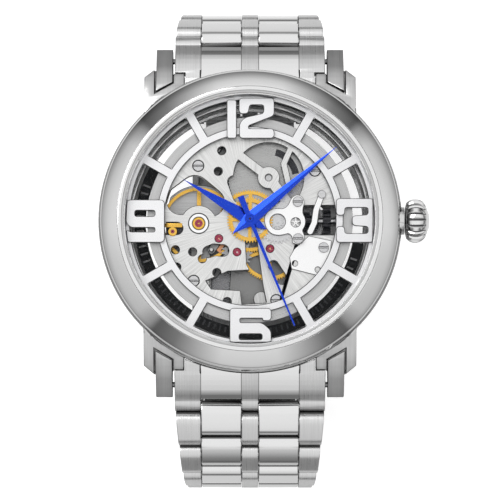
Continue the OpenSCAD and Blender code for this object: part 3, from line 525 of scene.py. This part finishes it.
# Each shape is a list of its outline and holes, with the radius of their corners
NUMERALS = [
    # three
    [([(12.5, 2.93), (12.5, 0.63), (13.6, 0.63), (13.6, 1.76), (17.1, 1.76), (17.1, 0.58), (14.8, 0.43),
       (14.8, -0.85), (17.1, -1.0), (17.1, -2.13), (13.6, -2.13), (13.6, -1.1), (12.5, -1.1),
       (12.5, -3.28), (17.8, -3.28), (17.8, 2.93)], 0.5)],
    # nine
    [([(-17.8, 2.73), (-17.8, -0.5), (-17.2, -1.13), (-13.63, -1.13), (-13.63, -1.92), (-17.2, -1.92),
       (-17.8, -1.6), (-17.8, -3.28), (-12.4, -3.28), (-12.4, 2.73)], 0.6),
     ([(-16.7, 1.35), (-13.63, 1.35), (-13.63, 0.33), (-16.7, 0.33)], 0.45)],
    # six
    [([(-2.84, -12.92), (-2.84, -17.83), (2.99, -17.83), (2.97, -16.1), (1.72, -15.0), (-1.53, -15.0),
       (-1.53, -14.22), (1.87, -14.22), (1.87, -14.58), (2.99, -14.58), (2.99, -12.92)], 0.5),
     ([(-1.64, -16.46), (1.82, -16.46), (1.82, -17.47), (-1.64, -17.47)], 0.45)],
    # one
    [([(-3.26, 17.24), (-3.26, 11.8), (-2.03, 11.8), (-2.03, 17.24)], 0.3)],
    # two
    [([(-1.51, 17.5), (-1.51, 15.35), (-0.3, 15.35), (-0.13, 16.65), (2.06, 16.65), (2.06, 15.3),
       (-0.73, 14.68), (-1.47, 13.86), (-1.47, 11.8), (3.43, 11.8), (3.43, 13.05), (-0.28, 13.05),
       (-0.28, 13.6), (3.43, 15.05), (3.43, 17.5)], 0.5)],
]
NUMERAL_REACH = 17.83


def within(outline, limit):
    """The outline with every point pulled inside a circle around the dial's axis."""
    return [p * min(1.0, limit / p.length) for p in outline]


bm = bmesh.new()
for loops in NUMERALS:
    outlines = [within(rounded(points, radius, 6), NUMERAL_REACH) for points, radius in loops]
    plate(bm, outlines, NUMERAL_LOW, NUMERAL_TOP, 0.09)
new_piece("numerals_fine", bm, "dial_silver", BODY_OF["numerals"], ["numerals"], 15)

TRACK_RADIUS = 18.0
bm = bmesh.new()
for k in range(60):
    length = 0.375 if k % 5 == 0 else 0.25
    turn = Matrix.Rotation(math.radians(6 * k), 4, "Z")
    extrude(bm, bar(TRACK_RADIUS, TRACK_RADIUS + length, 0.05), 10.6, 10.62, 0, turn)
new_piece("minute_track", bm, "black_print", HEAD, [], 15)


def hand_mesh(tip, tail, width, z, h, turn):
    """A faceted hand whose sloping faces meet in a ridge over the axis."""
    bm = bmesh.new()
    half = width / 2
    outline = [(-tail, 0), (-0.1, -half), (tip, 0), (-0.1, half)]
    rim = [bm.verts.new((x * MM, y * MM, (z + h * 0.3) * MM)) for x, y in outline]
    base = [bm.verts.new((x * MM, y * MM, z * MM)) for x, y in outline]
    top = bm.verts.new((0, 0, (z + h) * MM))
    for i in range(4):
        j = (i + 1) % 4
        bm.faces.new((base[i], base[j], rim[j], rim[i]))
        bm.faces.new((rim[i], rim[j], top))
    bm.faces.new(base[::-1])
    bmesh.ops.transform(bm, matrix=Matrix.Rotation(math.radians(turn), 4, "Z"), verts=bm.verts)
    return bm


for node, tip, tail, width, z, h, turn in (
    ("hour_hand", 11.3, 2.85, 2.15, 9.85, 0.3, 149.0),
    ("minute_hand", 16.4, 3.3, 2.0, 10.4, 0.3, 39.9),
):
    hand = hand_mesh(tip, tail, width, z, h, turn)
    new_piece(node + "_fine", hand, "blued_steel", BODY_OF[node], [node], 2)

# ---------- Jewels ----------

JEWEL_LOW = 8.02
PLATE_JEWELS = [(-4.51, -2.66), (-1.88, -4.63), (2.9, -4.13)]
BALANCE = (-7.43, -0.47)
bm = bmesh.new()
for x, y in PLATE_JEWELS:
    rim = [(0.1, 8.2), (0.3, 8.24), (0.36, 8.32), (0.5, 8.32), (0.55, 8.27)]
    turned(bm, x, y, rim + [(0.55, JEWEL_LOW), (0.1, JEWEL_LOW)], 0)
# The balance's jewel sits in a gilt ring inside a pale one
for material, inner, outer, rim in (
    (0, 0.12, 0.56, [(0.12, 8.25), (0.3, 8.3), (0.4, 8.38), (0.55, 8.36)]),
    (1, 0.57, 0.92, [(0.57, 8.36), (0.84, 8.36), (0.92, 8.28)]),
    (2, 0.93, 1.45, [(0.93, 8.3), (1.0, 8.35), (1.38, 8.35), (1.45, 8.28)]),
):
    turned(bm, *BALANCE, rim + [(outer, JEWEL_LOW), (inner, JEWEL_LOW)], material)
new_piece("jewels_fine", bm, ["ruby", "gilt_brass", "cover_silver"], BODY_OF["jewels"], ["jewels"], 25)

# ---------- Movement ----------

# The balance cock takes a darker silver as painted shade
MOVEMENT_FINISHES = {
    "main_plate": "plate_silver", "bridges": "bridge_silver", "balance_cock": "cock_silver",
    "rotor_bridge": "bridge_silver", "barrel": "plated_brass", "keyless_cover": "cover_silver",
    "setting_lever": "cover_silver",
}
for node, kind in MOVEMENT_FINISHES.items():
    refined(node, kind, 0.07, segments=1, smooth=15)
refined("movement_screws", "hard_steel", 0.05, segments=1, smooth=15)

# Cock over the minute train, open over its two wheels
COCK = [
    (2.4, -1.3), (3.2, -2.1), (4.4, -2.25), (5.7, -1.9), (6.2, -2.6), (6.1, -3.3), (6.9, -3.65), (7.7, -3.2),
    (7.85, -2.3), (7.45, -1.6), (7.9, -0.9), (8.0, 0.1), (7.55, 0.9), (7.6, 1.7), (7.85, 2.5), (7.5, 3.35),
    (6.7, 3.6), (6.0, 3.1), (5.6, 2.1), (4.9, 1.5), (3.6, 1.6), (2.5, 1.1), (2.05, 0.1),
]
COCK_LOW, COCK_TOP = 9.05, 9.35
COCK_SCREWS = [(6.9, 2.6), (6.95, -2.75)]
SCREW_HOLE = 0.37
STAR = (6.6, -0.4)
holes = [circle(4, -0.3, 1.2)[::-1], circle(*STAR, 0.75)[::-1]]
holes += [circle(x, y, SCREW_HOLE, 20)[::-1] for x, y in COCK_SCREWS]
bm = bmesh.new()
plate(bm, [rounded(COCK, 0.7, 4)] + holes, COCK_LOW, COCK_TOP, 0.07)
for x, y in COCK_SCREWS:
    turned(bm, x, y, [(SCREW_HOLE, COCK_LOW), (0.6, COCK_LOW), (0.6, 8.3), (SCREW_HOLE, 8.3)])
for k in range(5):
    turn = Matrix.Rotation(math.radians(72 * k + 18), 4, "Z")
    place = Matrix.Translation((STAR[0] * MM, STAR[1] * MM, 0)) @ turn
    extrude(bm, bar(0.15, 0.8, 0.07), 9.1, 9.2, 0, place)
turned(bm, *STAR, [(0.06, 9.1), (0.24, 9.1), (0.24, 9.28), (0.06, 9.28)])
new_piece("motion_bridge_fine", bm, "cover_silver", BODY_OF["motion_bridge"], ["motion_bridge"], 15)

# Dark print on the rim of the back glass, with plain pale marks
PRINT_LOW, PRINT_TOP, MARKS_TOP = 1.51, 1.53, 1.54
MARKS_RADIUS = 15.6
bm = bmesh.new()
extrude(bm, sector(15.3, 16.95, 147, 350), PRINT_LOW, PRINT_TOP)
new_piece("back_print", bm, "black_print", HEAD, [], 15)
for name, kind, first, last, length, every in (
    ("back_marks_left", "pale_print", 160, 203, 1.1, 4),
    ("back_marks_low", "grey_print", 212, 328, 0.8, 3),
    ("back_marks_right", "pale_print", 336, 346, 1.0, 5),
):
    bm = bmesh.new()
    for degrees in range(first, last, every):
        turn = Matrix.Rotation(math.radians(degrees), 4, "Z")
        extrude(bm, bar(MARKS_RADIUS, MARKS_RADIUS + length, 0.14), PRINT_TOP, MARKS_TOP, 0, turn)
    new_piece(name, bm, kind, HEAD, [], 15)

# Index with a jewel beside the balance, over a near-black sheet that paints the shade beneath it
bm = bmesh.new()
extrude(bm, [(-12.2, -2.1), (-9.7, -2.1), (-9.7, -0.2), (-12.2, -0.2)], 7.3, 7.4)
# The sheet takes the near-black steel: painted shade
for face in bm.faces:
    face.material_index = 2
extrude(bm, [(-12.35, -1.05), (-9.8, -1.05), (-9.8, -0.45), (-12.35, -0.45)], 8.3, 8.42, 0.05)
INDEX_JEWEL = (-11.2, -1.65)
turned(bm, *INDEX_JEWEL, [(0.28, 8.4), (0.62, 8.4), (0.7, 8.3), (0.7, 7.4), (0.28, 7.4)], 0)
turned(bm, *INDEX_JEWEL, [(0.08, 8.36), (0.27, 8.38), (0.27, 8.0), (0.08, 8.0)], 1)
new_piece("balance_index", bm, ["gilt_brass", "ruby", "dark_steel"], HEAD, [], 20)

# Cap over the seconds arbor, with painted shade in the hole at its middle
bm = bmesh.new()
turned(bm, 0, 0, [(0.12, 11.06), (0.2, 11.14), (0.45, 11.14), (0.5, 11.08), (0.5, 11.0), (0.12, 11.0)], 0)
turned(bm, 0, 0, [(0.01, 11.08), (0.11, 11.08), (0.11, 11.0), (0.01, 11.0)], 1)
new_piece("seconds_cap", bm, ["blued_steel", "dark_steel"], BODY_OF["seconds_hand"], [], 25)

# Slot in the barrel's cover, drawn as a near-black sheet of painted shade
bm = bmesh.new()
BARREL_PLACE = Matrix.Translation((2.7 * MM, 6.2 * MM, 0))
extrude(bm, sector(3.5, 4.5, 10, 75), 6.3, 6.31, 0, BARREL_PLACE)
new_piece("barrel_slot", bm, "dark_steel", BODY_OF["barrel"], [], 15)

# ---------- Remaining CAD nodes keep their shapes ----------

NODE_FINISHES = {
    "crystal": "glass", "back_crystal": "glass", "gaskets": "white_gasket", "movement_ring": "ring_silver",
    "seconds_hand": "blued_steel", "ratchet_wheel": "hard_steel", "crown_wheel": "hard_steel",
    "centre_wheel": "gilt_brass", "third_wheel": "gilt_brass", "fourth_wheel": "gilt_brass",
    "escape_wheel": "hard_steel", "pallet_fork": "copper", "balance_wheel": "gilt_brass",
    "hairspring": "spring_alloy", "minute_wheel": "hard_steel", "hour_wheel": "gilt_brass",
    # The rotor takes a dark copy of the steel as painted shade
    # The winding pinions take the near-black steel as painted shade
    "winding_stem": "hard_steel", "winding_pinions": "dark_steel", "rotor": "rotor_steel",
    "spring_bars": "hard_steel",
    # The clasp's blades and cover take a dark steel as painted shade
    "clasp_inner_blade": "clasp_steel", "clasp_outer_blade": "clasp_steel", "clasp_cover": "clasp_steel",
    "clasp_pusher_left": "polished_steel", "clasp_pusher_right": "polished_steel",
}
for node, kind in NODE_FINISHES.items():
    target = frame["nodes"][node]
    target.data.materials.clear()
    target.data.materials.append(FINISHES[kind])

# ---------- Bracelet ----------


# Strips painted dark as the shade in the gaps that part the brushed columns from the polished ones, by
# distance from the middle
INNER_STRIP, OUTER_STRIP = (1.2, 1.32), (7.1, 7.22)


def column_finish(centre, normal):
    """Polished columns lie between brushed ones, and the inner side and the strips take a darker, duller steel
    as painted shade.
    """
    across = abs(centre.x)
    facing = normal.y * centre.y + normal.z * (centre.z - LOOP_MIDDLE / MM)
    in_strip = any(low < across < high for low, high in (INNER_STRIP, OUTER_STRIP))
    if facing < -4 or in_strip:
        return 2
    return 1 if INNER_STRIP[0] < across < OUTER_STRIP[1] else 0


def end_link_shape(bm):
    """Separates the columns and curves the end links down."""
    for x in INNER_STRIP + OUTER_STRIP:
        cut(bm, (x, 0, 0), (1, 0, 0))
        cut(bm, (-x, 0, 0), (1, 0, 0))
    droop(bm, 19.5, 27.4, 0.014, 1.5, 4.5)


BRACELET_STEELS = ["brushed_steel", "polished_steel", "inner_steel"]
for node in sorted(frame["nodes"]):
    if node.startswith("link_") or node == "end_links":
        shape = end_link_shape if node == "end_links" else crowned
        refined(node, BRACELET_STEELS, 0.1, column_finish, smooth=20, shape=shape)

# ---------- Floor, light and camera ----------

bpy.ops.mesh.primitive_plane_add(size=3, location=(0, 0, cad_box[0].z - 0.0001))
floor = bpy.context.object
floor.name = "floor"
floor_paint = bpy.data.materials.new("floor_paint")
floor_paint.use_nodes = True
tree = floor_paint.node_tree
shader = tree.nodes["Principled BSDF"]
place = add(tree, "ShaderNodeTexCoord").outputs["Object"]
distance = add(tree, "ShaderNodeVectorMath", {0: place}, operation="LENGTH").outputs["Value"]
# Painted light: the floor glows, white under the watch and fading to grey further out, so low reflections in
# the steel turn dark
shade = ramp(tree, distance, [(0.062, 0.93), (0.20, 0.30)], "EASE")
tree.links.new(shade, shader.inputs["Base Color"])
tree.links.new(shade, shader.inputs["Emission Color"])
shader.inputs["Emission Strength"].default_value = 0.5
shader.inputs["Roughness"].default_value = 0.9
floor.data.materials.append(floor_paint)

world = bpy.data.worlds.new("studio")
bpy.context.scene.world = world
world.use_nodes = True
tree = world.node_tree
direction = add(tree, "ShaderNodeTexCoord").outputs["Generated"]
x, y, z = add(tree, "ShaderNodeSeparateXYZ", {0: direction}).outputs
turn = maths(tree, "ARCTAN2", maths(tree, "ABSOLUTE", y), maths(tree, "ABSOLUTE", x))
share = maths(tree, "DIVIDE", turn, math.pi / 2)
wedge_stops = [(0.0, 1.0), (0.40, 0.80), (0.48, 0.45), (0.51, 0.16), (0.62, 0.28), (0.86, 1.0)]
wedges = ramp(tree, share, wedge_stops)
height = maths(tree, "ADD", maths(tree, "MULTIPLY", z, 0.5), 0.5)
overhead = ramp(tree, height, [(0.76, 0.0), (0.88, 1.0)])
low_behind = ramp(tree, height, [(0.49, 0.16), (0.56, 0.26), (0.63, 0.85), (0.68, 1.0)])
before_stops = [(0.49, 0.14), (0.57, 0.32), (0.65, 0.86), (0.83, 0.92), (0.95, 1.0)]
low_before = ramp(tree, height, before_stops)
toward_twelve = maths(tree, "ADD", maths(tree, "MULTIPLY", y, 0.5), 0.5)
behind = ramp(tree, toward_twelve, [(0.4, 0.0), (0.6, 1.0)])
low = add(tree, "ShaderNodeMixRGB", {0: behind, 1: low_before, 2: low_behind}).outputs[0]
sky = add(tree, "ShaderNodeMixRGB", {0: overhead, 1: wedges, 2: (1, 1, 1, 1)}).outputs[0]
light = add(tree, "ShaderNodeMixRGB", {0: 1.0, 1: sky, 2: low}, blend_type="MULTIPLY").outputs[0]
tree.links.new(light, tree.nodes["Background"].inputs[0])
tree.nodes["Background"].inputs[1].default_value = 1.0

lamp = bpy.data.lights.new("softbox", "AREA")
lamp.shape = "RECTANGLE"
lamp.size, lamp.size_y = 0.35, 0.25
lamp.energy = 0.8
key = bpy.data.objects.new("softbox", lamp)
key.location = (-0.22, 0.20, 0.42)
key.rotation_euler = (Vector((0, 0, 0)) - key.location).to_track_quat("-Z", "Y").to_euler()
bpy.context.scene.collection.objects.link(key)

FRAME_WIDTH = 72.2 * MM
CAMERA_DISTANCE = 0.45
TILT = math.radians(3.8)
look_at = Vector((0, -4.4 * MM, 9.3 * MM))
back = Vector((0, -math.sin(TILT), math.cos(TILT)))
lens = bpy.data.cameras.new("camera")
lens.lens = lens.sensor_width * CAMERA_DISTANCE / FRAME_WIDTH
camera = bpy.data.objects.new("camera", lens)
camera.location = look_at + back * CAMERA_DISTANCE
camera.rotation_euler = (-back).to_track_quat("-Z", "Y").to_euler()
bpy.context.scene.collection.objects.link(camera)
bpy.context.scene.camera = camera
bpy.context.scene.view_settings.view_transform = "Standard"
